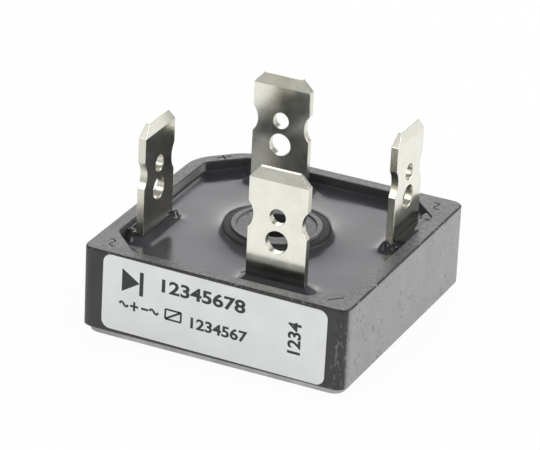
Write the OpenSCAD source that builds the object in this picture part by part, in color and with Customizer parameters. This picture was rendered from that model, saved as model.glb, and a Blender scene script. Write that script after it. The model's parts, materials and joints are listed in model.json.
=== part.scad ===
// Square potted bridge rectifier with four blade terminals.
// Origin: centre of the mounting hole on the underside of the base plate.
// X runs along the label, Y towards the cut corner side, Z up along the blades.

/* [Case] */
// Side of the square case
side = 28.5; // [27:0.5:34]
// Height from the underside of the base plate to the rim
rim_h = 9.3; // [8.5:0.1:14]
// Legs of the cut that marks the positive corner
corner_cut = 4.2; // [3.5:0.1:5]
// Radius of the upright outer edges
edge_r = 1.2; // [0.4:0.1:1.6]
// Thickness of the walls
wall = 1.5; // [1.2:0.1:1.8]
// Diameter of the mounting hole
bore_d = 5.3; // [4.2:0.1:5.6]
// Outer diameter of the sleeve round the hole
sleeve_d = 10.6; // [9.8:0.1:11]
// Width of the low shoulder round the top of the sleeve
shoulder_w = 0.7; // [0.3:0.1:0.9]
// Depth of that shoulder below the rim
shoulder_drop = 0.25; // [0.1:0.05:0.5]
// Width of the raised ring inside the shoulder
ring_w = 0.6; // [0.3:0.1:1]
// Depth of the shallow seat inside that ring
seat_depth = 0.15; // [0.05:0.05:0.4]
// Thickness of the two webs that carry the sleeve
web_t = 1.2; // [0.8:0.1:2]
// Height of the webs
web_h = 1.1; // [0.8:0.1:1.3]
// Cover of resin over the webs
web_cover = 0.7; // [0.4:0.1:0.9]
// Depth of the polarity marks in the rim
mark_depth = 0.12; // [0.05:0.01:0.3]
// Width of the strokes of the marks
mark_line = 0.16; // [0.15:0.01:0.35]
// Length of a mark
mark_l = 1.6; // [1:0.1:1.6]
// Distance of the marks from the outer faces at the three full corners
mark_in = 2.2; // [1.9:0.1:2.6]

/* [Base plate] */
// Thickness of the base plate
plate_t = 2; // [1.5:0.1:2.3]
// How far the plate stands out below the case
plate_stand = 0.7; // [0.3:0.1:1.1]
// Width of the case lip round the plate
plate_lip = 0.5; // [0.3:0.1:0.8]

/* [Potting] */
// Depth of the resin surface below the rim
potting_drop = 1.2; // [1:0.1:2]
// Radius of the resin fillet that climbs each blade
climb_r = 0.9; // [0.5:0.1:0.9]

/* [Terminals] */
// Width of a blade
tab_w = 6.3; // [6:0.05:6.6]
// Thickness of a blade
tab_t = 0.8; // [0.5:0.05:1]
// Height of the blade tips above the rim
tab_h = 11.15; // [10.5:0.05:14]
// Width of the corner cuts at the tip
tip_cut_w = 1.05; // [0.6:0.05:1.4]
// Height of the corner cuts at the tip
tip_cut_h = 1.2; // [0.8:0.05:1.6]
// Height of the slopes on both faces of the tip
tip_slope_h = 1.25; // [0.6:0.05:1.6]
// Thickness left at the very tip
tip_t = 0.35; // [0.2:0.05:0.45]
// Distance from the tip to the small hole
small_hole_down = 4.9; // [4.7:0.1:5.1]
// Diameter of the small hole
small_hole_d = 1.7; // [1.2:0.1:1.8]
// Distance from the tip to the large hole
large_hole_down = 7.55; // [7.3:0.05:8]
// Diameter of the large hole
large_hole_d = 2.35; // [2:0.05:2.6]
// Distance from the tip to the middle of the side notches
notch_down = 5.2; // [4.8:0.1:6]
// Height of a side notch
notch_h = 2.8; // [2:0.1:3.4]
// Depth of a side notch
notch_depth = 0.55; // [0.3:0.05:0.8]
// Gap from the wall to the middle of the positive and negative blades
dc_wall_gap = 2.35; // [2.1:0.05:2.5]
// Distance of those two blades from the case's middle line
dc_shift = 4.8; // [4.5:0.1:5.4]
// Gap from the wall to the middle of the two ac blades
ac_wall_gap = 1.7; // [1.5:0.05:1.9]
// Distance of the two ac blades from the case's middle line
ac_shift = 5.4; // [5.3:0.1:5.8]
// How far the set of four blades sits off centre, along the label
tabs_x = 0.1; // [-0.1:0.05:0.1]
// How far the set of four blades sits off centre, away from the label
tabs_y = 0.1; // [-0.1:0.05:0.1]
// Length of the foot that each blade is soldered down with
foot_l = 2.1; // [1.6:0.1:2.2]
// Inner radius of the bend above the foot
bend_r = 0.4; // [0.2:0.05:0.6]

/* [Circuit] */
// Thickness of the ceramic tile
tile_t = 0.63; // [0.4:0.01:0.8]
// Gap between the tile and the walls
tile_gap = 0.25; // [0.1:0.05:0.3]
// Gap between the tile and the sleeve
tile_sleeve_gap = 0.3; // [0.1:0.05:0.35]
// Thickness of the copper pads
pad_t = 0.3; // [0.2:0.05:0.5]
// Gap between neighbouring pads
pad_gap = 0.8; // [0.5:0.1:1]
// Bare border of the tile round the pads
pad_border = 0.3; // [0.1:0.05:0.35]
// Side of a diode die
die_w = 3.8; // [3:0.1:3.9]
// Thickness of a diode die
die_t = 0.3; // [0.2:0.05:0.4]
// Gap from a die to the edge of its pad
die_edge = 0.6; // [0.5:0.05:0.8]
// Gap from a die to the blade beside it
die_blade_gap = 0.25; // [0.15:0.05:0.3]
// Thickness of each solder layer
solder_t = 0.1; // [0.08:0.01:0.15]
// How far the solder stays inside the feet it holds
solder_inset = 0.1; // [0.05:0.05:0.2]
// Width of the copper clips
clip_w = 2.4; // [1.6:0.1:2.6]
// Thickness of the copper clips
clip_t = 0.35; // [0.2:0.05:0.5]
// Side of the clip's contact on the die
clip_contact = 2; // [1.4:0.1:2.6]
// Length of the clip's foot
clip_foot = 1.2; // [0.8:0.1:1.3]

/* [Label] */
// Bare case beyond each end of the label
label_end_gap = 2.2; // [1.8:0.1:4]
// Bare case above the label
label_top_gap = 0.25; // [0.2:0.05:1]
// Bare case below the label
label_foot_gap = 0.35; // [0.15:0.05:1]
// Thickness of the label
label_t = 0.1; // [0.05:0.01:0.2]
// Radius of the label's corners
label_r = 0.9; // [0.3:0.1:1.5]
// How far along the wall the label was stuck on off centre
label_shift = 0.2; // [-0.4:0.1:0.4]
// Angle at which the label was stuck on
label_tilt = 0.6; // [0:0.1:0.8]

/* [Hidden] */
$fn = 64;

// Outlines in plan: half sides, and |x| + |y| along the 45 degree corners
half = side / 2;
inner = half - wall;
plate_half = half - plate_lip;
tile_half = inner - tile_gap;
pad_half = tile_half - pad_border;
diagonal = sqrt(2);
case_diag = side - corner_cut;
inner_diag = case_diag - wall * diagonal;
plate_diag = case_diag - plate_lip * diagonal;
tile_diag = inner_diag - tile_gap * diagonal;
pad_diag = tile_diag - pad_border * diagonal;
sleeve_r = sleeve_d / 2;
ring_r = sleeve_r - shoulder_w;
tile_hole_r = sleeve_r + tile_sleeve_gap;
pad_hole_r = tile_hole_r + pad_border;

// Levels of the stack
tile_z = plate_t + solder_t;
pad_z = tile_z + tile_t;
pad_top = pad_z + pad_t;
die_z = pad_top + solder_t;
die_top = die_z + die_t;
clip_z = die_top + solder_t;
tip_z = rim_h + tab_h;
potting_z = rim_h - potting_drop;
web_top = potting_z - web_cover;

// Places of the blades, and of the dice along and across the gap between pads
dc_line = inner - dc_wall_gap;
ac_line = inner - ac_wall_gap;
die_near = pad_gap / 2 + die_edge + die_w / 2;
die_far = dc_line - tab_t / 2 - die_blade_gap - die_w / 2;
foot_gap = 0.3;
top_joint = clip_contact - 2 * solder_inset;
landing = pad_gap / 2 + foot_gap + clip_foot / 2;

// The label fills the front wall between its bare borders
label_w = side - 2 * label_end_gap;
label_h = rim_h - plate_stand - label_top_gap - label_foot_gap;
label_z = plate_stand + label_foot_gap + label_h / 2;

// Cuts reach past the surface by this much
over = 1;
// Cuts in the resin reach this far into the neighbouring piece
sink = 0.03;

// Colours of the materials
black_plastic = [0.25, 0.25, 0.26];
grey_resin = [0.52, 0.51, 0.54];
tinned = [0.84, 0.84, 0.79];
nickel = [0.68, 0.68, 0.67];
copper = [0.76, 0.46, 0.32];
solder_grey = [0.62, 0.63, 0.65];
white_ceramic = [0.92, 0.91, 0.87];
silicon = [0.30, 0.33, 0.38];
paper_white = [0.92, 0.92, 0.92];

// A square whose four corners are cut where |x| + |y| passes diag
module cut_square(half_side, diag) {
    intersection() {
        square(2 * half_side, center = true);
        rotate(45) square(diag * diagonal, center = true);
    }
}

// The outline of the case: three rounded corners and the cut one
module case_outline(half_side, diag, r) {
    intersection() {
        union() {
            square([2 * half_side, 2 * (half_side - r)], center = true);
            square([2 * (half_side - r), 2 * half_side], center = true);
            for (x = [-1, 1], y = [-1, 1])
                translate([x, y] * (half_side - r)) circle(r);
        }
        corner_keep(half_side, diag);
    }
}

// Everything except the triangle beyond the cut corner
module corner_keep(half_side, diag) {
    reach = half_side + over;
    edge = reach - diag;
    polygon([[-reach, -reach], [reach, -reach], [reach, reach], [edge, reach], [-reach, -edge]]);
}

// The room inside the walls, from the base plate up
module cavity(height) {
    translate([0, 0, plate_t]) linear_extrude(height - plate_t) cut_square(inner, inner_diag);
}

// One polarity mark, lying along X round the origin
module minus_mark() {
    square([mark_l, mark_line], center = true);
}

module plus_mark() {
    minus_mark();
    rotate(90) square([0.8 * mark_l, mark_line], center = true);
}

module wave_mark() {
    bow = mark_l / 4;
    for (s = [-1, 1]) translate([s * bow, 0]) intersection() {
        difference() {
            circle(bow + mark_line / 2);
            circle(bow - mark_line / 2);
        }
        translate([-over, s > 0 ? -over : 0]) square([2 * over, over]);
    }
}

module rim_marks() {
    at = half - mark_in;
    plus_at = (case_diag + inner_diag) / 4;
    translate([0, 0, rim_h - mark_depth]) linear_extrude(over) {
        translate([-plus_at, plus_at]) rotate(45) plus_mark();
        translate([at, -at]) rotate(45) minus_mark();
        for (s = [-1, 1]) translate([at, at] * s) rotate(-45) wave_mark();
    }
}

// The sleeve round the hole, still undrilled, and the webs that hold it
module sleeve_and_webs() {
    translate([0, 0, plate_t]) cylinder(h = rim_h - plate_t, d = sleeve_d);
    translate([0, 0, web_top - web_h / 2])
        cube([2 * inner + wall, web_t, web_h], center = true);
}

module case_solid() {
    height = rim_h - plate_stand;
    difference() {
        union() {
            difference() {
                translate([0, 0, plate_stand]) linear_extrude(height)
                    case_outline(half, case_diag, edge_r);
                cavity(rim_h + over);
            }
            sleeve_and_webs();
        }
        cylinder(h = rim_h + over, d = bore_d);
        translate([0, 0, rim_h - seat_depth]) cylinder(h = over, r = ring_r - ring_w);
        plate_solid(over, 0);
        rim_marks();
        translate([0, 0, rim_h - shoulder_drop]) difference() {
            cylinder(h = over, r = sleeve_r + over);
            translate([0, 0, -over]) cylinder(h = 3 * over, r = ring_r);
        }
    }
}

// The base plate; below reaches under its face where it is used as a cutter
module plate_solid(below, hole_d) {
    difference() {
        translate([0, 0, -below]) linear_extrude(plate_t + below)
            case_outline(plate_half, plate_diag, edge_r);
        if (hole_d > 0) translate([0, 0, -over]) cylinder(h = plate_t + 2 * over, d = hole_d);
    }
}

module case() {
    color(black_plastic) case_solid();
}

module base_plate() {
    color(nickel) plate_solid(0, bore_d);
}

// A flat layer of the stack with a hole round the sleeve
module ring_layer(z, t, half_side, diag, hole_r) {
    translate([0, 0, z]) difference() {
        linear_extrude(t) cut_square(half_side, diag);
        translate([0, 0, -over]) cylinder(h = t + 2 * over, r = hole_r);
    }
}

module substrate_solder(reach = 0) {
    color(solder_grey)
        ring_layer(plate_t - reach, solder_t + 2 * reach, pad_half, pad_diag, pad_hole_r);
}

module substrate() {
    color(white_ceramic) ring_layer(tile_z, tile_t, tile_half, tile_diag, tile_hole_r);
}

// The pad in the quarter whose signs are given
module pad(sx, sy, reach = 0) {
    color(copper) intersection() {
        ring_layer(pad_z - reach, pad_t + reach, pad_half, pad_diag, pad_hole_r);
        translate([sx > 0 ? pad_gap / 2 : -half, sy > 0 ? pad_gap / 2 : -half, 0])
            cube([half - pad_gap / 2, half - pad_gap / 2, rim_h]);
    }
}

// A blade's face outline: width along X, height along Y from z0 up
module tab_outline(z0) {
    w = tab_w / 2;
    notch_r = (pow(notch_h / 2, 2) + pow(notch_depth, 2)) / (2 * notch_depth);
    difference() {
        polygon([
            [-w, z0], [w, z0], [w, tip_z - tip_cut_h], [w - tip_cut_w, tip_z],
            [tip_cut_w - w, tip_z], [-w, tip_z - tip_cut_h]
        ]);
        translate([0, tip_z - small_hole_down]) circle(d = small_hole_d);
        translate([0, tip_z - large_hole_down]) circle(d = large_hole_d);
        for (s = [-1, 1]) translate([s * (w - notch_depth + notch_r), tip_z - notch_down])
            circle(notch_r);
    }
}

// The wedge that thins one face of the tip
module tip_wedge() {
    slope = (tab_t - tip_t) / 2;
    rotate([90, 0, 90]) linear_extrude(tab_w + 2 * over, center = true)
        polygon([
            [tab_t / 2, tip_z - tip_slope_h], [tab_t / 2 - slope, tip_z],
            [tab_t / 2 - slope, tip_z + over], [tab_t / 2 + over, tip_z + over],
            [tab_t / 2 + over, tip_z - tip_slope_h]
        ]);
}

// A whole terminal: blade over the origin, faces along X, foot towards +Y
module tab() {
    bend_out = bend_r + tab_t;
    foot_z = pad_top + solder_t;
    difference() {
        rotate([90, 0, 0]) linear_extrude(tab_t, center = true) tab_outline(foot_z + bend_out);
        tip_wedge();
        mirror([0, 1, 0]) tip_wedge();
    }
    rotate([90, 0, 90]) translate([bend_out - tab_t / 2, foot_z + bend_out])
        linear_extrude(tab_w, center = true) {
            intersection() {
                difference() {
                    circle(bend_out);
                    circle(bend_r);
                }
                translate([-2 * bend_out, -2 * bend_out]) square(2 * bend_out);
            }
            translate([0, -bend_out]) square([foot_l - bend_out, tab_t]);
        }
}

// The solder under a foot
module tab_joint(reach = 0) {
    joint_l = foot_l - tab_t - bend_r - solder_inset;
    translate([solder_inset - tab_w / 2, bend_r + tab_t / 2, pad_top - reach])
        cube([tab_w - 2 * solder_inset, joint_l, solder_t + 2 * reach]);
}

// Places of the four terminals; each puts its children there
module at_positive() {
    translate([tabs_x - dc_shift, tabs_y + dc_line, 0]) children();
}

module at_negative() {
    translate([tabs_x + dc_shift, tabs_y - dc_line, 0]) rotate(180) children();
}

module at_ac_2() {
    translate([tabs_x + ac_line, tabs_y + ac_shift, 0]) rotate(90) children();
}

module at_ac_1() {
    translate([tabs_x - ac_line, tabs_y - ac_shift, 0]) rotate(-90) children();
}

module at_each_terminal() {
    at_positive() children();
    at_negative() children();
    at_ac_1() children();
    at_ac_2() children();
}

module positive_terminal() {
    color(tinned) at_positive() tab();
}

module negative_terminal() {
    color(tinned) at_negative() tab();
}

module ac_1_terminal() {
    color(tinned) at_ac_1() tab();
}

module ac_2_terminal() {
    color(tinned) at_ac_2() tab();
}

module positive_solder() {
    color(solder_grey) at_positive() tab_joint();
}

module negative_solder() {
    color(solder_grey) at_negative() tab_joint();
}

module ac_1_solder() {
    color(solder_grey) at_ac_1() tab_joint();
}

module ac_2_solder() {
    color(solder_grey) at_ac_2() tab_joint();
}

// Puts its children at diode 1 to 4: +X points at the die, the origin is on the pad gap
module at_die(i) {
    if (i == 1) translate([-die_far, 0, 0]) rotate(90) children();
    if (i == 2) translate([0, die_far, 0]) rotate(180) children();
    if (i == 3) translate([0, -die_far, 0]) children();
    if (i == 4) translate([die_far, 0, 0]) rotate(-90) children();
}

// A block on the line through the die, x away from the pad gap
module flat_block(x, z, length, width, thickness) {
    translate([x, 0, z + thickness / 2]) cube([length, width, thickness], center = true);
}

module die(i, reach = 0) {
    color(silicon) at_die(i) flat_block(die_near, die_z - reach, die_w, die_w, die_t + reach);
}

module die_solder(i) {
    color(solder_grey) at_die(i) flat_block(die_near, pad_top, die_w, die_w, solder_t);
}

module clip_top_solder(i, reach = 0) {
    color(solder_grey) at_die(i)
        flat_block(die_near, die_top - reach, top_joint, top_joint, solder_t + 2 * reach);
}

module clip_foot_solder(i, reach = 0) {
    joint_l = clip_foot - 2 * solder_inset;
    joint_w = clip_w - 2 * solder_inset;
    color(solder_grey) at_die(i)
        flat_block(-landing, pad_top - reach, joint_l, joint_w, solder_t + 2 * reach);
}

// A clip is a strip bent down from the die to the next pad
module clip(i) {
    foot_z = pad_top + solder_t;
    head_end = die_near + clip_contact / 2;
    slope_top = pad_gap / 2;
    slope_end = clip_foot / 2 - landing;
    color(copper) at_die(i) rotate([90, 0, 0]) linear_extrude(clip_w, center = true)
        polygon([
            [-landing - clip_foot / 2, foot_z], [slope_end, foot_z],
            [slope_top, clip_z], [head_end, clip_z],
            [head_end, clip_z + clip_t], [slope_top, clip_z + clip_t],
            [slope_end, foot_z + clip_t], [-landing - clip_foot / 2, foot_z + clip_t]
        ]);
}

// The concave fillet profile of the resin against an upright face
module climb_profile() {
    difference() {
        square(climb_r);
        translate([climb_r, climb_r]) circle(climb_r);
    }
}

// Resin that climbs round one blade
module tab_climb() {
    half_x = tab_w / 2;
    half_y = tab_t / 2;
    translate([0, 0, potting_z]) {
        for (turn = [0, 180]) rotate(turn) {
            translate([0, half_y, 0]) rotate([90, 0, 90])
                linear_extrude(tab_w, center = true) climb_profile();
            translate([half_x, 0, 0]) rotate([90, 0, 0])
                linear_extrude(tab_t, center = true) climb_profile();
            translate([half_x, half_y, 0]) rotate_extrude(angle = 90) climb_profile();
            translate([half_x, -half_y, 0]) rotate(-90)
                rotate_extrude(angle = 90) climb_profile();
        }
    }
}

// Everything that the resin has to leave room for
module drowned() {
    sleeve_and_webs();
    substrate_solder(sink);
    substrate();
    for (sx = [-1, 1], sy = [-1, 1]) pad(sx, sy, sink);
    at_each_terminal() {
        tab();
        tab_joint(sink);
    }
    for (i = [1:4]) {
        die(i, solder_t + sink);
        clip(i);
        clip_top_solder(i, sink);
        clip_foot_solder(i, sink);
    }
}

module potting() {
    color(grey_resin) difference() {
        intersection() {
            union() {
                cavity(potting_z);
                at_each_terminal() tab_climb();
            }
            cavity(rim_h);
        }
        drowned();
    }
}

module label() {
    color(paper_white) translate([label_shift, -half, label_z]) rotate([90, label_tilt, 0])
        linear_extrude(label_t) {
            square([label_w, label_h - 2 * label_r], center = true);
            square([label_w - 2 * label_r, label_h], center = true);
            for (x = [-1, 1], y = [-1, 1])
                translate([x * (label_w / 2 - label_r), y * (label_h / 2 - label_r)])
                    circle(label_r);
        }
}

case();
base_plate();
potting();
label();
substrate();
substrate_solder();
pad(-1, 1);  // positive_pad
pad(1, -1);  // negative_pad
pad(-1, -1);  // ac_1_pad
pad(1, 1);  // ac_2_pad
positive_terminal();
negative_terminal();
ac_1_terminal();
ac_2_terminal();
positive_solder();
negative_solder();
ac_1_solder();
ac_2_solder();
for (i = [1:4]) {
    die(i);
    die_solder(i);
    clip(i);
    clip_top_solder(i);
    clip_foot_solder(i);
}
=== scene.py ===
"""Looks of a square potted bridge rectifier with four blade terminals, in metres."""

import json
import math

import bmesh
import bpy
import numpy as np
from mathutils import Matrix, Vector, noise


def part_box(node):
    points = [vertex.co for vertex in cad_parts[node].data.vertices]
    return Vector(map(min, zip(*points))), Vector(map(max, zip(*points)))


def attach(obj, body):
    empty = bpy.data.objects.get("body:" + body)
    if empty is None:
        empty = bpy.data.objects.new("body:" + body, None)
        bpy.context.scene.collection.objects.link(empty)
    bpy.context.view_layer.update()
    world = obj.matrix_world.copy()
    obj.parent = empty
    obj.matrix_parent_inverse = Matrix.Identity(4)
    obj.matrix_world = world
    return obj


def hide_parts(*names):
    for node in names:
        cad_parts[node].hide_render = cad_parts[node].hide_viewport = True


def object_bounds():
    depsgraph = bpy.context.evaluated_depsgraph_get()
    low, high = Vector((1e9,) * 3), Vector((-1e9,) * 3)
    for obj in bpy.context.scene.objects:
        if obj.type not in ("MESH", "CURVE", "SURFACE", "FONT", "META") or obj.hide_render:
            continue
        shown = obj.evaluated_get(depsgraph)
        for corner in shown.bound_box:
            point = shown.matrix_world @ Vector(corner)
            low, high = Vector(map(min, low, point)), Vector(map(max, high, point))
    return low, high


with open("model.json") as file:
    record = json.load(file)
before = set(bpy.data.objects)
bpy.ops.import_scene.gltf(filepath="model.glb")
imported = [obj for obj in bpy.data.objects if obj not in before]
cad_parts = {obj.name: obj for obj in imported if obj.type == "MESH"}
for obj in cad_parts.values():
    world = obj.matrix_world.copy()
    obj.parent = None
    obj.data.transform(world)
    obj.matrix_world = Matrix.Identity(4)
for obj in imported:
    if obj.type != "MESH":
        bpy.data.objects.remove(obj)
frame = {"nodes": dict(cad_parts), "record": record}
cad_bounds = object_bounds()

MM = 0.001
BODY = "root"

# ---------------------------------------------------------------- sizes of the solids
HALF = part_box("case")[1].x
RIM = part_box("case")[1].z
CASE_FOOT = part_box("case")[0].z
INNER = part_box("potting")[1].x
WALL = HALF - INNER
PLATE_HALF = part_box("base_plate")[1].x
PLATE_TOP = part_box("base_plate")[1].z
ROOT2 = math.sqrt(2)

# How far the corner's cut runs along each side
CORNER_CUT = 4.2 * MM

# |x| + |y| along the cut corners of each outline
CASE_DIAGONAL = 2 * HALF - CORNER_CUT
INNER_DIAGONAL = CASE_DIAGONAL - WALL * ROOT2
PLATE_DIAGONAL = CASE_DIAGONAL - (HALF - PLATE_HALF) * ROOT2

# Rounding of the edges
UPRIGHT_EDGE = 1.3 * MM
INNER_EDGE = 0.35 * MM
RIM_EDGE = 0.2 * MM
LIP_EDGE = 0.12 * MM
PLATE_EDGE = 0.1 * MM
BLADE_EDGE = 0.07 * MM
LABEL_EDGE = 0.03 * MM
SLEEVE_EDGE = 0.1 * MM

# Rounding of the edges towards the room and the seat, as a share of the outer edges' rounding
INNER_SHARE = 0.6

# The sleeve: its bore, its outside, the raised ring on it and the screw's seat in that
BORE_R = 2.65 * MM
SLEEVE_R = 5.3 * MM
RING_R = 4.6 * MM
SEAT_R = 4.0 * MM
SHOULDER_DROP = 0.5 * MM
SEAT_DEPTH = 0.15 * MM

# The resin's level, and its collar over the sleeve's shoulder
RESIN_LEVEL = RIM - 1.2 * MM
COLLAR_TOP = RIM - 0.32 * MM
COLLAR_R = 5.38 * MM

BLADE_T = 0.8 * MM

# The signs sunk into the rim
MARK_LENGTH = 1.6 * MM
MARK_LINE = 0.16 * MM
MARK_DEPTH = 0.12 * MM
MARK_IN = 2.2 * MM

# Points round each outline, and the steps of halving that find each point
COLUMNS = 720
HALVINGS = 40

# A face counts as flat along an axis when its normal's part along it is above this
FLAT = 0.9999


# ---------------------------------------------------------------- camera
def place_camera():
    """A long lens, looking down at the corner between the label and the bare side."""
    azimuth, elevation, roll = (math.radians(angle) for angle in (24.56, 25.45, 2.7))
    distance = 368 * MM
    aim_right, aim_up = -0.29, 8.28
    back = Vector((math.sin(azimuth) * math.cos(elevation),
                   -math.cos(azimuth) * math.cos(elevation), math.sin(elevation)))
    level = Vector((math.cos(azimuth), math.sin(azimuth), 0))
    upright = back.cross(level)
    right = level * math.cos(roll) + upright * math.sin(roll)
    up = back.cross(right)
    aim = (right * aim_right + up * aim_up) * MM
    data = bpy.data.cameras.new("camera")
    data.sensor_width = 36
    data.lens = 244.7
    data.clip_start = 10 * MM
    camera = bpy.data.objects.new("camera", data)
    axes = Matrix((right, up, back)).transposed()
    camera.matrix_world = Matrix.Translation(aim + back * distance) @ axes.to_4x4()
    bpy.context.scene.collection.objects.link(camera)
    bpy.context.scene.camera = camera


place_camera()
bpy.context.scene.view_settings.view_transform = "Standard"


# ---------------------------------------------------------------- node trees
class Tree:
    """Adds nodes to one tree; a value that is a socket becomes a link."""

    def __init__(self, tree):
        self.tree = tree

    def add(self, kind, fields=None, **values):
        """A new node; fields are its settings and values go to its inputs by name."""
        node = self.tree.nodes.new("ShaderNode" + kind)
        for key, value in (fields or {}).items():
            setattr(node, key, value)
        for key, value in values.items():
            self.put(node.inputs[key.replace("_", " ")], value)
        return node

    def put(self, socket, value):
        """Links another socket to this one, or sets a plain value on it."""
        if isinstance(value, bpy.types.NodeSocket):
            self.tree.links.new(value, socket)
        else:
            socket.default_value = value

    def math(self, operation, *values):
        """One sum on sockets or numbers."""
        node = self.add("Math", {"operation": operation})
        for socket, value in zip(node.inputs, values):
            self.put(socket, value)
        return node.outputs[0]

    def span(self, value, low, high, to_low=0.0, to_high=1.0):
        """The value's stretch from low to high, spread over another one and clamped."""
        node = self.add("MapRange", Value=value)
        for name, number in (("From Min", low), ("From Max", high),
                             ("To Min", to_low), ("To Max", to_high)):
            self.put(node.inputs[name], number)
        return node.outputs[0]

    def blend(self, factor, first, second):
        """A colour between the first, at factor 0, and the second, at factor 1."""
        node = self.add("Mix", {"data_type": "RGBA"})
        for index, value in ((0, factor), (6, first), (7, second)):
            self.put(node.inputs[index], value)
        return node.outputs[2]

    def group(self, name, **values):
        """Places a node group with its own values; gives its outputs."""
        node = self.tree.nodes.new("ShaderNodeGroup")
        node.node_tree = bpy.data.node_groups[name]
        for key, value in values.items():
            self.put(node.inputs[key.replace("_", " ")], value)
        return node.outputs


def new_group(name, inputs, outputs):
    """A node group; inputs are (name, default) pairs, where None stands for a place."""
    tree = bpy.data.node_groups.new(name, "ShaderNodeTree")
    for label, default in inputs:
        kind = "NodeSocketVector" if default is None else "NodeSocketFloat"
        socket = tree.interface.new_socket(label, in_out="INPUT", socket_type=kind)
        if default is not None:
            socket.default_value = default
    for label in outputs:
        tree.interface.new_socket(label, in_out="OUTPUT", socket_type="NodeSocketFloat")
    t = Tree(tree)
    source = tree.nodes.new("NodeGroupInput")
    sink = tree.nodes.new("NodeGroupOutput")
    return t, source.outputs, sink.inputs


def group_grain():
    """Fine pebbled grain: a height and a speckle, Size in millimetres."""
    t, have, out = new_group("grain", [("Place", None), ("Size", 0.15)], ["Height", "Speckle"])
    scale = t.math("DIVIDE", 1.0, have["Size"])
    fine = t.add("TexNoise", Vector=have["Place"], Scale=scale, Detail=3.0, Roughness=0.6)
    coarse = t.add("TexNoise", Vector=have["Place"], Scale=t.math("MULTIPLY", scale, 0.31),
                   Detail=2.0, Roughness=0.5)
    both = t.math("ADD", t.math("MULTIPLY", fine.outputs["Fac"], 0.7),
                  t.math("MULTIPLY", coarse.outputs["Fac"], 0.3))
    t.put(out["Height"], both)
    t.put(out["Speckle"], t.span(both, 0.42, 0.6))


def group_mottle():
    """Slow, cloudy variation between 0 and 1, Size in millimetres."""
    t, have, out = new_group("mottle", [("Place", None), ("Size", 4.0)], ["Value"])
    cloud = t.add("TexNoise", Vector=have["Place"], Scale=t.math("DIVIDE", 1.0, have["Size"]),
                  Detail=4.0, Roughness=0.55)
    t.put(out["Value"], t.span(cloud.outputs["Fac"], 0.3, 0.7))


def group_scuffs():
    """Short rubbed marks, stretched along one axis by the place that it is given."""
    t, have, out = new_group("scuffs", [("Place", None), ("Size", 1.0), ("Amount", 0.3)],
                             ["Mask"])
    scale = t.math("DIVIDE", 1.0, have["Size"])
    marks = t.add("TexNoise", Vector=have["Place"], Scale=scale, Detail=3.0, Roughness=0.65)
    patches = t.add("TexNoise", Vector=have["Place"], Scale=t.math("MULTIPLY", scale, 0.17),
                    Detail=1.0, Roughness=0.5)
    level = t.math("SUBTRACT", 0.78, t.math("MULTIPLY", have["Amount"], 0.3))
    sharp = t.span(marks.outputs["Fac"], level, t.math("ADD", level, 0.06))
    t.put(out["Mask"], t.math("MULTIPLY", sharp, t.span(patches.outputs["Fac"], 0.4, 0.6)))


group_grain()
group_mottle()
group_scuffs()


def new_material(name):
    """A new material; gives its tree, its Principled shader and the place in millimetres."""
    material = bpy.data.materials.new(name)
    material.use_nodes = True
    shader = material.node_tree.nodes["Principled BSDF"]
    t = Tree(material.node_tree)
    place = t.add("TexCoord").outputs["Object"]
    scaled = t.add("VectorMath", {"operation": "SCALE"})
    t.put(scaled.inputs[0], place)
    t.put(scaled.inputs["Scale"], 1 / MM)
    return material, t, shader, scaled.outputs[0]


def stretch(t, place, factors):
    """The place with each axis squeezed by its own factor."""
    node = t.add("VectorMath", {"operation": "MULTIPLY"})
    t.put(node.inputs[0], place)
    t.put(node.inputs[1], factors)
    return node.outputs[0]


def bump(t, shader, height, strength, depth_mm):
    """Lets a height between 0 and 1 tilt the surface, as if it were that deep."""
    node = t.add("Bump", Strength=strength, Distance=depth_mm * MM, Height=height)
    t.put(shader.inputs["Normal"], node.outputs["Normal"])


def length(t, vector):
    """How long a vector is."""
    node = t.add("VectorMath", {"operation": "LENGTH"})
    t.put(node.inputs[0], vector)
    return node.outputs["Value"]


def worn(t, below, colour, marks, where, amount):
    """The colour below with another one over it, where the marks lie in that area."""
    return t.blend(t.math("MULTIPLY", marks, t.math("MULTIPLY", where, amount)), below, colour)


def mesh_mask(t, name):
    """The mask that a mesh carries under that name."""
    return t.add("Attribute", {"attribute_name": name}).outputs["Fac"]


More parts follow.
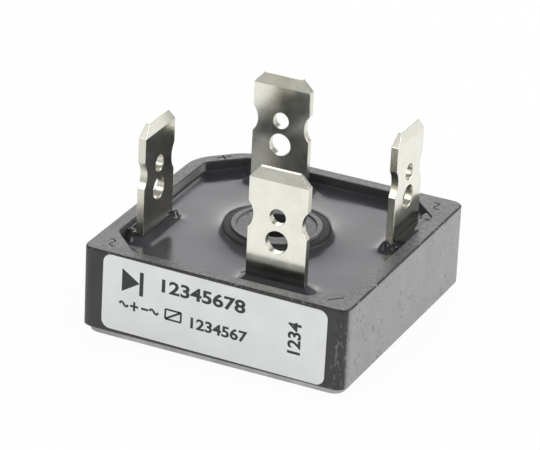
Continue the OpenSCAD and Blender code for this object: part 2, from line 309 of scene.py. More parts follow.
# ---------------------------------------------------------------- materials
def moulded_plastic():
    """Black moulding: pebbled; greyer on the rim from dust with painted sheen; the bare side lighter
    from painted sheen, and scratched; rubbed at its edges; painted shade along the rounded outer edge
    under the rim.
    """
    black, faded_black = (0.026, 0.026, 0.028, 1), (0.038, 0.038, 0.040, 1)
    # Speckled grey on the rim's top: partly dust, partly painted sheen for the light that the top
    # catches
    rim_dust_and_sheen = (0.18, 0.18, 0.188, 1)
    # Painted sheen: the bare side's light grey stands in for the bright light that it reflects
    side_painted_sheen = (0.27, 0.272, 0.27, 1)
    side_scratch = (0.38, 0.38, 0.38, 1)
    corner_rub = (0.32, 0.32, 0.33, 1)
    # Painted shade along the rounded outer edge under the rim
    brink_painted_shade = (0.012, 0.012, 0.013, 1)
    nick_grey = (0.36, 0.36, 0.37, 1)
    pit_black = (0.02, 0.02, 0.021, 1)

    material, t, shader, place = new_material("moulded_plastic")
    spot = t.add("SeparateXYZ", Vector=place).outputs
    facing = t.add("SeparateXYZ", Vector=t.add("NewGeometry").outputs["Normal"]).outputs
    near_rim = t.span(spot["Z"], RIM / MM - 1, RIM / MM - 0.5)
    rim = t.math("MULTIPLY", t.span(facing["Z"], 0.8, 0.98), near_rim)
    side = t.span(facing["X"], 0.85, 0.98)
    reach_x, reach_y = (t.math("ABSOLUTE", spot[axis]) for axis in "XY")
    from_corner = t.math("SUBTRACT", 2 * HALF / MM, t.math("ADD", reach_x, reach_y))
    upright = t.math("MULTIPLY", t.span(from_corner, 1.9, 0.5), t.span(spot["X"], 0, 8))
    outer = t.span(t.math("MAXIMUM", reach_x, reach_y), HALF / MM - 0.3, HALF / MM - 0.2)
    outer_near_rim = t.math("MULTIPLY", outer, near_rim)
    brink = t.math("MULTIPLY", outer_near_rim, t.span(facing["Z"], 0.1, 0.4))

    grain = t.group("grain", Place=place, Size=0.16)
    cloud = t.group("mottle", Place=place, Size=3.5)["Value"]
    on_side = stretch(t, place, (1.0, 1.0, 0.5))
    on_corner = stretch(t, place, (1.0, 1.0, 0.4))
    in_pits = stretch(t, place, (1.3, 1.0, 0.8))
    side_marks = t.group("scuffs", Place=on_side, Size=0.28, Amount=0.5)["Mask"]
    corner_marks = t.group("scuffs", Place=on_corner, Size=0.3, Amount=0.73)["Mask"]
    nicks = t.group("scuffs", Place=place, Size=0.35, Amount=0.7)["Mask"]
    pits = t.group("scuffs", Place=in_pits, Size=0.4, Amount=0.63)["Mask"]

    plain = t.blend(cloud, black, faded_black)
    # The rim's top is lightened with speckles: dust with painted sheen
    dusty_and_sheened = worn(t, plain, rim_dust_and_sheen, grain["Speckle"], rim, 0.7)
    # Painted sheen: the bare +X side is made lighter than the other sides, as the light falls on it
    side_sheen_share = t.math("MULTIPLY", side, t.span(cloud, 0, 1, 0.75, 1.0))
    side_sheened = t.blend(side_sheen_share, dusty_and_sheened, side_painted_sheen)
    scratched = worn(t, side_sheened, side_scratch, side_marks, side, 0.6)
    rubbed = worn(t, scratched, corner_rub, corner_marks, upright, 0.6)
    # Painted shade: the rounded outer edge under the rim is darkened, as if in shadow
    edge_shaded = t.blend(t.math("MULTIPLY", brink, 0.85), rubbed, brink_painted_shade)
    nicked = worn(t, edge_shaded, nick_grey, nicks, brink, 0.7)
    pitted_area = t.math("MAXIMUM", t.math("MULTIPLY", side, 0.8), t.math("MULTIPLY", rim, 0.8))
    pitted = t.math("MULTIPLY", pits, pitted_area)
    t.put(shader.inputs["Base Color"], t.blend(pitted, nicked, pit_black))

    matt = t.span(cloud, 0, 1, 0.36, 0.46)
    t.put(shader.inputs["Roughness"], t.math("SUBTRACT", matt, t.math("MULTIPLY", rim, 0.07)))
    pebbling = t.math("ADD", 0.4, t.math("MULTIPLY", rim, 0.6))
    height = t.math("MULTIPLY", grain["Height"], pebbling)
    dents = t.math("MULTIPLY", t.math("MAXIMUM", pitted, side_marks), -0.5)
    bump(t, shader, t.math("ADD", height, dents), 0.6, 0.03)
    return material


def poured_resin():
    """Glossy, faintly purple grey resin with soft clouds, a few specks of dust, and painted shade
    where it climbs and on the collar round the sleeve.
    """
    dark, light = (0.030, 0.029, 0.034, 1), (0.044, 0.042, 0.049, 1)
    # Painted shade for the climbed resin and the collar, standing in for the dark that they reflect
    climb_and_collar_painted_shade = (0.010, 0.010, 0.011, 1)
    dust_grey = (0.28, 0.28, 0.29, 1)

    material, t, shader, place = new_material("poured_resin")
    level = RESIN_LEVEL / MM
    collar_edge = COLLAR_R / MM
    up = t.add("SeparateXYZ", Vector=place).outputs["Z"]
    climbed = t.span(up, level + 0.6, level + 0.8)
    from_hole = length(t, stretch(t, place, (1, 1, 0)))
    collar = t.span(from_hole, collar_edge + 0.2, collar_edge)

    cloud = t.group("mottle", Place=place, Size=5.0)["Value"]
    dust = t.group("scuffs", Place=place, Size=0.12, Amount=0.18)["Mask"]
    tone = t.blend(cloud, dark, light)
    # Painted shade: where the resin climbs, and on the collar round the sleeve, it is darkened to
    # stand in for dark reflections
    shaded_tone = t.blend(t.math("MAXIMUM", climbed, collar), tone, climb_and_collar_painted_shade)
    t.put(shader.inputs["Base Color"], t.blend(dust, shaded_tone, dust_grey))
    shader.inputs["Specular Tint"].default_value = (0.96, 0.94, 1.0, 1)
    clouded = t.span(cloud, 0, 1, 0.12, 0.2)
    rough = t.math("MAXIMUM", clouded, t.math("MULTIPLY", collar, 0.6))
    t.put(shader.inputs["Roughness"], rough)
    bump(t, shader, t.group("grain", Place=place, Size=0.9)["Height"], 0.25, 0.03)
    return material


def tinned_sheet():
    """Bright tin on rolled brass: fine lines up the blade, cloudy tin, sheared edges."""
    dull_tin, bright_tin = (0.78, 0.775, 0.69, 1), (0.86, 0.855, 0.77, 1)
    cut_metal = (0.70, 0.69, 0.60, 1)
    rubbed_tin = (0.60, 0.59, 0.54, 1)

    material, t, shader, place = new_material("tinned_sheet")
    sheared = mesh_mask(t, "sheared")
    lines = t.group("grain", Place=stretch(t, place, (1.0, 1.0, 0.06)), Size=0.07)["Height"]
    cloud = t.group("mottle", Place=place, Size=1.4)["Value"]
    tall = stretch(t, place, (1.0, 1.0, 0.5))
    rubs = t.group("scuffs", Place=tall, Size=0.35, Amount=0.3)["Mask"]
    tone = t.blend(sheared, t.blend(cloud, dull_tin, bright_tin), cut_metal)
    t.put(shader.inputs["Base Color"], t.blend(rubs, tone, rubbed_tin))
    shader.inputs["Metallic"].default_value = 1.0
    clouded = t.span(cloud, 0, 1, 0.13, 0.18)
    t.put(shader.inputs["Roughness"], t.math("ADD", clouded, t.math("MULTIPLY", sheared, 0.1)))
    height = t.math("ADD", t.math("MULTIPLY", lines, 0.12), t.math("MULTIPLY", cloud, 0.25))
    bump(t, shader, height, 0.35, 0.008)
    return material


def plated_plate():
    """Dull plated metal with rolling lines and darker stains."""
    stained, clean = (0.28, 0.285, 0.29, 1), (0.42, 0.425, 0.43, 1)
    scratch_bright = (0.75, 0.75, 0.74, 1)

    material, t, shader, place = new_material("plated_plate")
    lines = t.group("grain", Place=stretch(t, place, (0.1, 1.0, 1.0)), Size=0.12)["Height"]
    stain = t.group("mottle", Place=place, Size=2.5)["Value"]
    along = stretch(t, place, (0.2, 1.0, 1.0))
    scratches = t.group("scuffs", Place=along, Size=0.5, Amount=0.35)["Mask"]
    tone = t.blend(stain, stained, clean)
    t.put(shader.inputs["Base Color"], t.blend(scratches, tone, scratch_bright))
    shader.inputs["Metallic"].default_value = 1.0
    t.put(shader.inputs["Roughness"], t.span(stain, 0, 1, 0.48, 0.36))
    bump(t, shader, lines, 0.4, 0.015)
    return material


def label_paper():
    """Satin white paper with a faint fibre and slightly soiled patches."""
    soiled, white = (0.73, 0.745, 0.75, 1), (0.79, 0.805, 0.81, 1)

    material, t, shader, place = new_material("label_paper")
    fibre = t.group("grain", Place=stretch(t, place, (0.4, 1.0, 1.0)), Size=0.1)
    soil = t.group("mottle", Place=place, Size=3.0)["Value"]
    t.put(shader.inputs["Base Color"], t.blend(soil, soiled, white))
    t.put(shader.inputs["Roughness"], t.span(fibre["Speckle"], 0, 1, 0.42, 0.52))
    bump(t, shader, fibre["Height"], 0.2, 0.008)
    return material


def printed_ink():
    """Dense greenish black ink, thinner here and there."""
    dense_ink, thin_ink = (0.016, 0.022, 0.020, 1), (0.055, 0.065, 0.06, 1)

    material, t, shader, place = new_material("printed_ink")
    grain = t.group("grain", Place=place, Size=0.12)
    thin = t.math("MULTIPLY", grain["Speckle"], 0.35)
    t.put(shader.inputs["Base Color"], t.blend(thin, dense_ink, thin_ink))
    shader.inputs["Roughness"].default_value = 0.5
    bump(t, shader, grain["Height"], 0.15, 0.004)
    return material


def plain_solid(name, dark, light, roughness, metallic, grain_mm, depth_mm):
    """A plain surface with clouded colour and a fine grain, for the hidden circuit."""
    material, t, shader, place = new_material(name)
    cloud = t.group("mottle", Place=place, Size=1.5)["Value"]
    grain = t.group("grain", Place=place, Size=grain_mm)
    t.put(shader.inputs["Base Color"], t.blend(cloud, (*dark, 1), (*light, 1)))
    rough = t.span(grain["Speckle"], 0, 1, roughness, roughness + 0.12)
    t.put(shader.inputs["Roughness"], rough)
    shader.inputs["Metallic"].default_value = metallic
    bump(t, shader, grain["Height"], 0.4, depth_mm)
    return material


PLASTIC = moulded_plastic()
RESIN = poured_resin()
TIN = tinned_sheet()
PLATE = plated_plate()
PAPER = label_paper()
INK = printed_ink()

# Finishes of the circuit under the resin, by the slot of the solid
HIDDEN = {
    "ceramic": plain_solid("fired_ceramic", (0.72, 0.71, 0.66), (0.80, 0.79, 0.75),
                           roughness=0.5, metallic=0, grain_mm=0.08, depth_mm=0.01),
    "solder": plain_solid("dull_solder", (0.42, 0.43, 0.45), (0.58, 0.59, 0.61),
                          roughness=0.34, metallic=1, grain_mm=0.2, depth_mm=0.02),
    "copper": plain_solid("bare_copper", (0.62, 0.29, 0.17), (0.78, 0.42, 0.27),
                          roughness=0.3, metallic=1, grain_mm=0.1, depth_mm=0.01),
    "silicon": plain_solid("glassy_chip", (0.03, 0.035, 0.05), (0.06, 0.065, 0.09),
                           roughness=0.2, metallic=0, grain_mm=0.4, depth_mm=0.002),
}


# ---------------------------------------------------------------- outlines seen from above
def smooth_max(a, b, reach):
    """The larger of two distances, with the crease between them rounded over reach."""
    near = np.maximum(reach - np.abs(a - b), 0) / reach
    return np.maximum(a, b) + near * near * reach / 4


class Outline:
    """A square with cut corners; a distance below 0 lies inside it."""

    def __init__(self, half, diagonal, cut_corners, edge):
        self.half = half
        self.diagonal = diagonal
        self.cut_corners = cut_corners
        self.edge = edge

    def distance(self, x, y):
        total = smooth_max(x - self.half, y - self.half, self.edge)
        for other in (-x - self.half, -y - self.half):
            total = smooth_max(total, other, self.edge)
        for sx, sy in self.cut_corners:
            total = smooth_max(total, (sx * x + sy * y - self.diagonal) / ROOT2, self.edge)
        return total


class Round:
    """A circle round the middle of the mounting hole."""

    def __init__(self, radius):
        self.radius = radius

    def distance(self, x, y):
        return np.hypot(x, y) - self.radius


PLUS_CORNER = (-1, 1)
ALL_CORNERS = ((-1, -1), (1, -1), (1, 1), (-1, 1))
CASE_OUTLINE = Outline(HALF, CASE_DIAGONAL, (PLUS_CORNER,), UPRIGHT_EDGE)
PLATE_OUTLINE = Outline(PLATE_HALF, PLATE_DIAGONAL, (PLUS_CORNER,), UPRIGHT_EDGE)
ROOM_OUTLINE = Outline(INNER, INNER_DIAGONAL, ALL_CORNERS, INNER_EDGE)
TURN = np.arange(COLUMNS) * 2 * math.pi / COLUMNS


def ring(outline, inset, z):
    """Points round an outline drawn in by inset, one for each column, at height z."""
    low = np.zeros(COLUMNS)
    high = np.full(COLUMNS, 2 * HALF)
    for _ in range(HALVINGS):
        middle = (low + high) / 2
        inside = outline.distance(middle * np.cos(TURN), middle * np.sin(TURN)) < -inset
        low = np.where(inside, middle, low)
        high = np.where(inside, high, middle)
    return np.stack([low * np.cos(TURN), low * np.sin(TURN), np.full(COLUMNS, z)], 1)


def outer_edge(outline, z, radius, steps=5):
    """Rings that round the top outer edge of an outline, from the wall to the top."""
    angles = [math.pi / 2 * k / steps for k in range(steps + 1)]
    return [ring(outline, radius * (1 - math.cos(a)), z - radius * (1 - math.sin(a)))
            for a in angles]


def inner_edge(outline, z, radius, steps=4):
    """Rings that round the top edge of a hole, from the top down into the hole."""
    angles = [math.pi / 2 * (1 - k / steps) for k in range(steps + 1)]
    return [ring(outline, -radius * (1 - math.cos(a)), z - radius * (1 - math.sin(a)))
            for a in angles]


def add_tube(mesh, rings):
    """Closes a loop of rings into a tube."""
    rows = [[mesh.verts.new(point) for point in points] for points in rings]
    for row, following in zip(rows, rows[1:] + rows[:1]):
        for k in range(COLUMNS):
            after = (k + 1) % COLUMNS
            mesh.faces.new((row[k], row[after], following[after], following[k]))


def add_prism(mesh, near, far):
    """A closed prism between two equal outlines, each a list of points in space."""
    near_row = [mesh.verts.new(point) for point in near]
    far_row = [mesh.verts.new(point) for point in far]
    mesh.faces.new(near_row[::-1])
    mesh.faces.new(far_row)
    for k in range(len(near)):
        after = (k + 1) % len(near)
        mesh.faces.new((near_row[k], near_row[after], far_row[after], far_row[k]))


def finish_mesh(mesh, name, crease_degrees=35, flat_along=None):
    """Turns a bmesh into an object that is smooth between its creases.

    With flat_along, the faces that look along that axis are creased off from the rest.
    """
    bmesh.ops.recalc_face_normals(mesh, faces=mesh.faces)
    for face in mesh.faces:
        face.smooth = True
    for line in mesh.edges:
        if len(line.link_faces) == 2:
            line.smooth = line.calc_face_angle(0) < math.radians(crease_degrees)
            if flat_along:
                flats = [abs(face.normal.dot(flat_along)) > FLAT for face in line.link_faces]
                line.smooth = line.smooth and flats[0] == flats[1]
    data = bpy.data.meshes.new(name)
    mesh.to_mesh(data)
    mesh.free()
    piece = bpy.data.objects.new(name, data)
    bpy.context.scene.collection.objects.link(piece)
    return piece


def apply_modifiers(piece):
    """Keeps the shape that the modifiers give, and clears them."""
    graph = bpy.context.evaluated_depsgraph_get()
    graph.update()
    shaped = bpy.data.meshes.new_from_object(piece.evaluated_get(graph))
    piece.modifiers.clear()
    piece.data = shaped


def round_edges(piece, width, degrees):
    """Rounds the edges that turn by more than the given angle."""
    rounded = piece.modifiers.new("rounded", "BEVEL")
    rounded.width = width
    rounded.segments = 2
    rounded.limit_method = "ANGLE"
    rounded.angle_limit = math.radians(degrees)
    rounded.harden_normals = True
    apply_modifiers(piece)


def dress(piece, material, slot, *nodes):
    """Gives a piece its material, its body and the solids that it stands for."""
    piece.data.materials.clear()
    piece.data.materials.append(material)
    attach(piece, BODY)
    if nodes:
        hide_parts(*nodes)


def mask_faces(piece, name, chosen):
    """Stores a mask on the mesh: 1 on the faces whose normal is chosen, 0 on the rest."""
    mask = piece.data.attributes.new(name, "FLOAT", "CORNER")
    for face in piece.data.polygons:
        for corner in face.loop_indices:
            mask.data[corner].value = float(chosen(face.normal))


# ---------------------------------------------------------------- case
def stroke(mesh, path, middle, turn):
    """A narrow cutter along a path of (x, y) points, turned and moved to its middle."""
    spin = Matrix.Rotation(turn, 2)
    line = [Vector(point) for point in path]
    left, right = [], []
    for k, point in enumerate(line):
        ahead = line[min(k + 1, len(line) - 1)] - line[max(k - 1, 0)]
        side = Vector((-ahead.y, ahead.x)).normalized() * MARK_LINE / 2
        left.append(spin @ (point + side) + middle)
        right.append(spin @ (point - side) + middle)
    low, high = ([(x, y, z) for x, y in right + left[::-1]]
                 for z in (RIM - MARK_DEPTH, RIM + MARK_DEPTH))
    add_prism(mesh, low, high)


def mark_cutters():
    """Cutters for plus at the cut corner, minus opposite it and a wave at the other two."""
    mesh = bmesh.new()
    half = MARK_LENGTH / 2
    bow = MARK_LENGTH / 4
    bow_steps = 8
    # The plus's arms start just clear of its dash: shares of the line and of half a mark
    arm_start, arm_end = 0.52, 0.9
    dash = [(-half, 0), (half, 0)]
    bend = [math.pi * k / bow_steps for k in range(bow_steps + 1)]
    upper = [(-bow - bow * math.cos(angle), bow * math.sin(angle)) for angle in bend]
    wave = upper + [(-x, -y) for x, y in upper[-2::-1]]
    at = HALF - MARK_IN
    plus_at = (CASE_DIAGONAL + INNER_DIAGONAL) / 4
    plus_middle = Vector((-plus_at, plus_at))
    slant = math.radians(45)
    stroke(mesh, dash, Vector((at, -at)), slant)
    stroke(mesh, wave, Vector((at, at)), -slant)
    stroke(mesh, wave, Vector((-at, -at)), -slant)
    stroke(mesh, dash, plus_middle, slant)
    for end in (-1, 1):
        arm = [(0, end * MARK_LINE * arm_start), (0, end * half * arm_end)]
        stroke(mesh, arm, plus_middle, slant)
    return finish_mesh(mesh, "mark_cutters")


def wall_rings():
    """Rings up the outer wall, over the rim, down the room inside and back to the foot."""
    rings = [ring(CASE_OUTLINE, LIP_EDGE, CASE_FOOT), ring(CASE_OUTLINE, 0, CASE_FOOT + LIP_EDGE)]
    rings += [ring(CASE_OUTLINE, 0, (CASE_FOOT + RIM) / 2)]
    rings += outer_edge(CASE_OUTLINE, RIM, RIM_EDGE)
    rings += inner_edge(ROOM_OUTLINE, RIM, RIM_EDGE * INNER_SHARE)
    rings += [ring(ROOM_OUTLINE, 0, RESIN_LEVEL), ring(ROOM_OUTLINE, 0, PLATE_TOP)]
    rings += [ring(PLATE_OUTLINE, 0, PLATE_TOP), ring(PLATE_OUTLINE, 0, CASE_FOOT)]
    return rings


def sleeve_rings():
    """Rings up the sleeve, over its shoulder, its ring and the screw's seat, down the bore."""
    shoulder = RIM - SHOULDER_DROP
    seat = RIM - SEAT_DEPTH
    rings = [ring(Round(SLEEVE_R), 0, PLATE_TOP)]
    rings += outer_edge(Round(SLEEVE_R), shoulder, SLEEVE_EDGE)
    rings += [ring(Round(RING_R), -SLEEVE_EDGE, shoulder)]
    rings += outer_edge(Round(RING_R), RIM, SLEEVE_EDGE)
    rings += inner_edge(Round(SEAT_R), RIM, SLEEVE_EDGE * INNER_SHARE)
    rings += [ring(Round(SEAT_R), SLEEVE_EDGE / 2, seat)]
    rings += inner_edge(Round(BORE_R), seat, SLEEVE_EDGE)
    rings += [ring(Round(BORE_R), 0, PLATE_TOP)]
    return rings


def cut_marks(case):
    """Sinks the pin signs into the rim, and keeps the rim's top flat round them."""
    cutters = mark_cutters()
    cut = case.modifiers.new("marks", "BOOLEAN")
    cut.operation = "DIFFERENCE"
    cut.solver = "MANIFOLD"
    cut.object = cutters
    apply_modifiers(case)
    bpy.data.objects.remove(cutters)
    for face in case.data.polygons:
        face.use_smooth = face.use_smooth and face.normal.z < FLAT


def build_case():
    """The moulding: walls with the rim and its corner gussets, and the sleeve."""
    mesh = bmesh.new()
    add_tube(mesh, wall_rings())
    add_tube(mesh, sleeve_rings())
    case = finish_mesh(mesh, "case_moulding")
    cut_marks(case)
    dress(case, PLASTIC, "case_plastic", "case")


# ---------------------------------------------------------------- base plate
def build_plate():
    """The metal base with its lower edges and the hole's rim eased."""
    mesh = bmesh.new()
    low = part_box("base_plate")[0].z
    eased = low + PLATE_EDGE
    rings = [ring(PLATE_OUTLINE, PLATE_EDGE, low), ring(PLATE_OUTLINE, 0, eased)]
    rings += [ring(PLATE_OUTLINE, 0, PLATE_TOP), ring(Round(BORE_R), 0, PLATE_TOP)]
    rings += [ring(Round(BORE_R), 0, eased), ring(Round(BORE_R), -PLATE_EDGE, low)]
    add_tube(mesh, rings)
    dress(finish_mesh(mesh, "base_plate_metal"), PLATE, "plate_metal", "base_plate")


# ---------------------------------------------------------------- resin
class Blade:
    """Where one blade stands: the middle and half sizes of its strip, and its faces' axis.

    The node's box also holds the buried foot. It bends towards the hole under the blades
    that face along x, and away from the hole under the other two.
    """

    def __init__(self, node, climb):
        low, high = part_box(node)
        self.node = node
        self.climb = climb
        if high.x - low.x < high.y - low.y:
            self.axis = Vector((1, 0, 0))
            strip = low.x + BLADE_T / 2 if low.x < 0 else high.x - BLADE_T / 2
            self.middle = Vector((strip, (low.y + high.y) / 2))
            self.half = Vector((BLADE_T / 2, (high.y - low.y) / 2))
        else:
            self.axis = Vector((0, 1, 0))
            strip = high.y - BLADE_T / 2 if high.y < 0 else low.y + BLADE_T / 2
            self.middle = Vector(((low.x + high.x) / 2, strip))
            self.half = Vector(((high.x - low.x) / 2, BLADE_T / 2))

    def distance(self, x, y):
        return box_distance(x - self.middle.x, y - self.middle.y, self.half)


def box_distance(x, y, half):
    """How far a point lies outside an upright oblong about the origin."""
    return np.hypot(np.maximum(np.abs(x) - half.x, 0), np.maximum(np.abs(y) - half.y, 0))


BLADES = [
    Blade("positive_terminal", 0.7 * MM),
    Blade("negative_terminal", 0.7 * MM),
    Blade("ac_1_terminal", 0.8 * MM),
    Blade("ac_2_terminal", 0.6 * MM),
]

# Resin that set in lumps by the blades and in one corner: x, y, radius, height, in millimetres
LUMPS = [
    (-10.55, -2.1, 0.5, 1.1),
    (-10.3, -1.7, 0.3, 0.6),
    (-11.5, -8.7, 0.6, 0.7),
    (-12.1, -8.0, 0.4, 0.7),
    (10.75, 2.15, 0.4, 0.9),
    (11.7, 2.3, 0.35, 0.4),
    (12.2, 10.1, 0.9, 1.8),
]
LUMP_FULLNESS = 0.6

# Resin drawn up between a blade and the wall: x from and to, y from and to and height, in millimetres
FILLS = [(12.1, 12.8, 3.4, 9.4, 0.8), (-12.8, -12.0, -7.6, -3.4, 0.5)]
FILL_REACH = 0.7 * MM

# How the surface climbs and ripples; values without MM are in millimetres or shares
WALL_CLIMB = 0.25 * MM
WALL_REACH = 0.3 * MM
BLADE_REACH = 0.9 * MM
BLADE_STEEP = 2.5
COLLAR_SOFT = 0.035
COLLAR_SLOPE = 0.3
MENISCUS_SHARE = 0.8
MENISCUS_REACH = 1.2
RIPPLE_SIZE = 5 * MM
RIPPLE_HEIGHT = 0.06
BELOW_RIM = 0.15 * MM
BELOW_RIM_SOFT = 0.2 * MM
RESIN_STEPS = 110


def collar_height(x, y):
    """The climb to the sleeve's ring: a collar in a wide meniscus, and the slope on its top."""
    from_hole = np.hypot(x, y)
    outside = (from_hole - COLLAR_R) / MM
    drop = 1 / (1 + np.exp(-outside / COLLAR_SOFT))
    meniscus = MENISCUS_SHARE * np.exp(-np.maximum(outside, 0) / MENISCUS_REACH)
    collar = (COLLAR_TOP - RESIN_LEVEL) * (1 - drop + drop * meniscus)
    return collar, np.maximum(COLLAR_R - from_hole, 0) * COLLAR_SLOPE


def resin_height(x, y):
    """The surface: flat, climbing every wall, the blades and the sleeve up to its ring."""
    wall = WALL_CLIMB * np.exp(ROOM_OUTLINE.distance(x, y) / WALL_REACH)
    collar, slope = collar_height(x, y)
    top = RESIN_LEVEL + wall + collar + slope
    for blade in BLADES:
        apart = blade.distance(x, y) / BLADE_REACH
        top += blade.climb * (0.5 * np.exp(-apart * BLADE_STEEP) + 0.5 * np.exp(-apart * apart))
    for px, py, radius, height in LUMPS:
        apart = np.hypot(x - px * MM, y - py * MM) / (radius * MM)
        top += height * MM * LUMP_FULLNESS * np.exp(-apart ** 4)
    for left, right, near, far, height in FILLS:
        apart = np.hypot(np.maximum(np.maximum(left * MM - x, x - right * MM), 0),
                         np.maximum(np.maximum(near * MM - y, y - far * MM), 0)) / FILL_REACH
        top += height * MM * np.exp(-apart * apart)
    ripple = np.array([noise.noise(Vector((a, b, 0)) / RIPPLE_SIZE) for a, b in zip(x, y)])
    return -smooth_max(-(top + ripple * RIPPLE_HEIGHT * MM), BELOW_RIM - RIM, BELOW_RIM_SOFT)


def at_height(points, z):
    """The same ring of points at another height."""
    moved = points.copy()
    moved[:, 2] = z
    return moved


def build_resin():
    """The resin from the sleeve's ring to the walls, and its body down to the plate."""
    mesh = bmesh.new()
    past_ring, past_wall = 0.01 * MM, 0.05 * MM
    inner = ring(Round(RING_R), -past_ring, 0)
    outer = ring(ROOM_OUTLINE, -past_wall, 0)
    sleeve = ring(Round(SLEEVE_R), 0, 0)
    rings = []
    for k in range(RESIN_STEPS + 1):
        eased = 0.5 - 0.5 * math.cos(math.pi * k / RESIN_STEPS)
        share = 0.5 * eased + 0.5 * k / RESIN_STEPS
        points = inner * (1 - share) + outer * share
        rings.append(at_height(points, resin_height(points[:, 0], points[:, 1])))
    rings += [at_height(outer, PLATE_TOP), at_height(sleeve, PLATE_TOP)]
    rings += [at_height(sleeve, RESIN_LEVEL), at_height(inner, RIM - SHOULDER_DROP)]
    add_tube(mesh, rings)
    resin = finish_mesh(mesh, "poured_resin", crease_degrees=60)
    dress(resin, RESIN, "resin", "potting")


# ---------------------------------------------------------------- terminals
def build_blade(blade):
    """The stamped blade with its sheared edges slightly rounded."""
    seam = 0.001 * MM
    same_plane = math.radians(0.5)
    mesh = bmesh.new()
    mesh.from_mesh(frame["nodes"][blade.node].data)
    bmesh.ops.remove_doubles(mesh, verts=mesh.verts, dist=seam)
    bmesh.ops.dissolve_limit(mesh, angle_limit=same_plane, verts=mesh.verts, edges=mesh.edges)
    piece = finish_mesh(mesh, blade.node + "_blade", crease_degrees=25, flat_along=blade.axis)
    round_edges(piece, BLADE_EDGE, degrees=35)
    mask_faces(piece, "sheared", lambda normal: abs(normal.dot(blade.axis)) < 0.5)
    dress(piece, TIN, "tinned_blade", blade.node)


# ---------------------------------------------------------------- label
LABEL_LOW, LABEL_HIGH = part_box("label")
LABEL_TILT = math.radians(0.6)
LABEL_R = 0.9 * MM
LABEL_FACE = LABEL_LOW.y
LABEL_MIDDLE = Vector(((LABEL_LOW.x + LABEL_HIGH.x) / 2, (LABEL_LOW.z + LABEL_HIGH.z) / 2))
LABEL_HALF = Vector((12.05 * MM, 4.0 * MM))


def on_label(u, v, out=0.0):
    """A point u along and v up the label from its middle, out in front of its face."""
    x = u * math.cos(LABEL_TILT) + v * math.sin(LABEL_TILT)
    z = v * math.cos(LABEL_TILT) - u * math.sin(LABEL_TILT)
    return Vector((LABEL_MIDDLE.x + x, LABEL_FACE - out, LABEL_MIDDLE.y + z))


def rounded_oblong(half, radius, steps=10):
    """The outline of an oblong with round corners, about the origin."""
    points = []
    for turn, (sx, sy) in enumerate(((1, 1), (-1, 1), (-1, -1), (1, -1))):
        for k in range(steps + 1):
            angle = math.pi / 2 * (turn + k / steps)
            points.append((sx * (half.x - radius) + radius * math.cos(angle),
                           sy * (half.y - radius) + radius * math.sin(angle)))
    return points


def add_slab(mesh, points, back, front):
    """A thin slab on the label, between two distances in front of its face."""
    add_prism(mesh, [on_label(u, v, back) for u, v in points],
              [on_label(u, v, front) for u, v in points])


def build_label():
    """The paper, a hair out of level, from the case's wall to the label's face."""
    mesh = bmesh.new()
    add_slab(mesh, rounded_oblong(LABEL_HALF, LABEL_R), LABEL_FACE + HALF, 0.0)
    piece = finish_mesh(mesh, "label_sheet")
    round_edges(piece, LABEL_EDGE, degrees=50)
    dress(piece, PAPER, "paper", "label")


# ---------------------------------------------------------------- print on the label
INK_T = 0.006 * MM

# Places and sizes in millimetres, from the label's middle, along it and then up it
SIGN_LINE = 0.24
WAVE_LENGTH = 0.95
PIN_ROW = -0.92
DIODE_AT = (-8.85, 1.67)
BRIDGE_AT = (-5.1, -1.3)
BRIDGE_SIZE = (1.7, 1.05)

# How much the font's strokes are thickened, as a share of its size
DIGIT_WEIGHT = 0.03


def ink_bar(mesh, start, end, width):
    """A straight printed stroke between two points on the label, in millimetres."""
    a, b = Vector(start) * MM, Vector(end) * MM
    side = Vector((a.y - b.y, b.x - a.x)).normalized() * width * MM / 2
    add_slab(mesh, (a + side, a - side, b - side, b + side), -INK_T / 2, INK_T)


def ink_wave(mesh, along):
    """A wave sign in the row of pin signs, as a chain of short strokes."""
    steps = 16
    bow = 0.24
    points = [(along + WAVE_LENGTH * (k / steps - 0.5),
               PIN_ROW + bow * WAVE_LENGTH * math.sin(2 * math.pi * k / steps))
              for k in range(steps + 1)]
    for a, b in zip(points, points[1:]):
        ink_bar(mesh, a, b, SIGN_LINE)


def ink_digits(mesh, body, corner, far_corner, upwards=False):
    """Plain digits in Blender's own font, fitted between two corners of the label."""
    curve = bpy.data.curves.new("digits", "FONT")
    curve.body = body
    curve.offset = DIGIT_WEIGHT
    writer = bpy.data.objects.new("digits", curve)
    bpy.context.scene.collection.objects.link(writer)
    bpy.context.view_layer.update()
    graph = bpy.context.evaluated_depsgraph_get()
    flat = bpy.data.meshes.new_from_object(writer.evaluated_get(graph))
    spots = np.array([vert.co[:2] for vert in flat.vertices])
    spots = (spots - spots.min(0)) / (spots.max(0) - spots.min(0))
    for vert, (along, up) in zip(flat.vertices, spots):
        share = (1 - up, along) if upwards else (along, up)
        u, v = (a + (b - a) * k for a, b, k in zip(corner, far_corner, share))
        vert.co = on_label(u * MM, v * MM, INK_T)
    mesh.from_mesh(flat)
    bpy.data.objects.remove(writer)


def ink_diode(mesh):
    """A filled diode sign: a triangle against a bar."""
    x, y = DIODE_AT
    triangle = ((x - 1.08, y + 1.25), (x - 1.08, y - 1.25), (x + 0.85, y))
    add_slab(mesh, [(u * MM, v * MM) for u, v in triangle], -INK_T / 2, INK_T)
    ink_bar(mesh, (x + 1.05, y - 1.28), (x + 1.05, y + 1.28), 0.42)


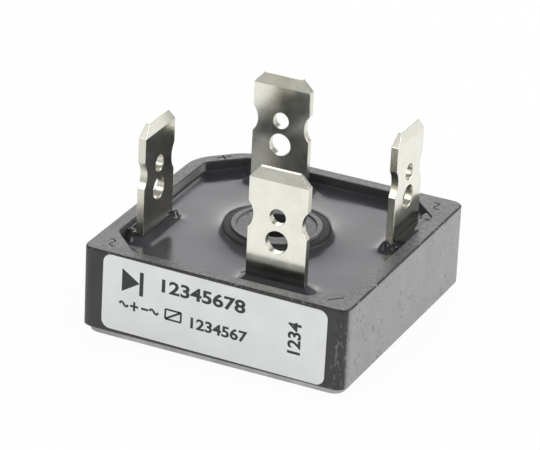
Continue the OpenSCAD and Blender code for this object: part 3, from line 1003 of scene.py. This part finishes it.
def ink_pin_signs(mesh):
    """A row of signs: wave, plus, minus and wave."""
    plus_at, arm_start, arm_end = -8.5, 0.12, 0.5
    ink_wave(mesh, -9.65)
    ink_bar(mesh, (-8.95, PIN_ROW), (-8.05, PIN_ROW), SIGN_LINE)
    for end in (-1, 1):
        ink_bar(mesh, (plus_at, PIN_ROW + arm_start * end), (plus_at, PIN_ROW + arm_end * end),
                SIGN_LINE)
    ink_bar(mesh, (-7.75, PIN_ROW), (-6.95, PIN_ROW), SIGN_LINE)
    ink_wave(mesh, -6.35)


def ink_bridge(mesh):
    """A bridge sign: a box with one diagonal."""
    left, low = BRIDGE_AT
    wide, high = BRIDGE_SIZE
    box = ((left, low), (left + wide, low), (left + wide, low + high), (left, low + high))
    for a, b in zip(box, box[1:] + box[:1]):
        ink_bar(mesh, a, b, 0.2)
    ink_bar(mesh, box[0], box[2], 0.22)


def build_print():
    """Plain marks: a diode sign, the pin signs, a bridge sign and counting digits."""
    mesh = bmesh.new()
    ink_diode(mesh)
    ink_pin_signs(mesh)
    ink_bridge(mesh)
    ink_digits(mesh, "12345678", (-5.6, 1.42), (3.42, 2.88))
    ink_digits(mesh, "1234567", (-2.35, -1.62), (3.77, -0.38))
    ink_digits(mesh, "1234", (8.02, -1.4), (9.42, 2.0), upwards=True)
    dress(finish_mesh(mesh, "label_print"), INK, "paper")


# ---------------------------------------------------------------- circuit under the resin
def dress_hidden_circuit():
    """The carried-over solids of the circuit get the finish of their slot."""
    for entry in frame["record"]["subparts"]:
        material = HIDDEN.get(entry["material_slot"])
        if material:
            solid = frame["nodes"][entry["node"]]
            solid.data.materials.clear()
            solid.data.materials.append(material)


# ---------------------------------------------------------------- floor and light
def mirror_rays(t, path):
    """1 for the rays that a shiny or a clear surface sends on."""
    return t.math("MAXIMUM", path["Is Glossy Ray"], path["Is Transmission Ray"])


def floor_paint():
    """Pale matt paint that glows: almost white to the camera, and dimmer far off in gloss."""
    near, far, far_glow = 0.07, 0.22, 0.45
    camera_share = 0.95
    material = bpy.data.materials.new("floor_paint")
    material.use_nodes = True
    t = Tree(material.node_tree)
    shader = material.node_tree.nodes["Principled BSDF"]
    shader.inputs["Base Color"].default_value = (0.86, 0.86, 0.86, 1)
    shader.inputs["Roughness"].default_value = 0.9
    shader.inputs["Specular IOR Level"].default_value = 0.0
    path = t.add("LightPath").outputs
    seen = path["Is Camera Ray"]
    from_part = length(t, t.add("TexCoord").outputs["Object"])
    dimming = t.span(from_part, near, far, 1.0, far_glow)
    glow = t.add("Emission", Strength=t.math("MAXIMUM", seen, dimming))
    share = t.math("MAXIMUM", t.math("MULTIPLY", seen, camera_share), mirror_rays(t, path))
    mix = t.add("MixShader")
    for socket, value in zip(mix.inputs, (share, shader.outputs[0], glow.outputs[0])):
        t.put(socket, value)
    t.put(material.node_tree.nodes["Material Output"].inputs["Surface"], mix.outputs[0])
    return material


def build_floor():
    """A wide flat floor under the part."""
    mesh = bmesh.new()
    bmesh.ops.create_grid(mesh, x_segments=1, y_segments=1, size=4.0)
    floor = finish_mesh(mesh, "floor")
    floor.location.z = cad_bounds[0][2]
    floor.data.materials.append(floor_paint())


def build_world():
    """White to the camera; gloss sees it bright at the horizon and dimmer overhead."""
    matt_light = 0.62
    horizon, overhead, overhead_from = 0.8, 0.35, 0.3
    world = bpy.data.worlds.new("studio")
    world.use_nodes = True
    bpy.context.scene.world = world
    t = Tree(world.node_tree)
    path = t.add("LightPath").outputs
    up = t.add("SeparateXYZ", Vector=t.add("TexCoord").outputs["Generated"]).outputs["Z"]
    gloss_light = t.span(up, 0.0, overhead_from, horizon, overhead)
    lit = t.add("Mix", {"data_type": "FLOAT"})
    for index, value in ((0, mirror_rays(t, path)), (2, matt_light), (3, gloss_light)):
        t.put(lit.inputs[index], value)
    background = world.node_tree.nodes["Background"]
    background.inputs["Color"].default_value = (1, 1, 1, 1)
    strength = t.math("MAXIMUM", path["Is Camera Ray"], lit.outputs[0])
    t.put(background.inputs["Strength"], strength)


def add_softbox(name, place, size, watts):
    """A square lamp that looks at the part."""
    lamp = bpy.data.lights.new(name, "AREA")
    lamp.size = size
    lamp.energy = watts
    box = bpy.data.objects.new(name, lamp)
    where = Vector(place)
    box.location = where
    box.rotation_euler = where.to_track_quat("Z", "Y").to_euler()
    bpy.context.scene.collection.objects.link(box)


build_case()
build_plate()
build_resin()
for blade in BLADES:
    build_blade(blade)
build_label()
build_print()
dress_hidden_circuit()
build_floor()
build_world()
add_softbox("back_box", (-0.23, 0.5, 0.26), size=0.45, watts=1.05)
add_softbox("side_box", (0.45, 0.25, 0.2), size=0.3, watts=1.7)
add_softbox("front_box", (-0.15, -0.45, 0.35), size=0.3, watts=0.85)
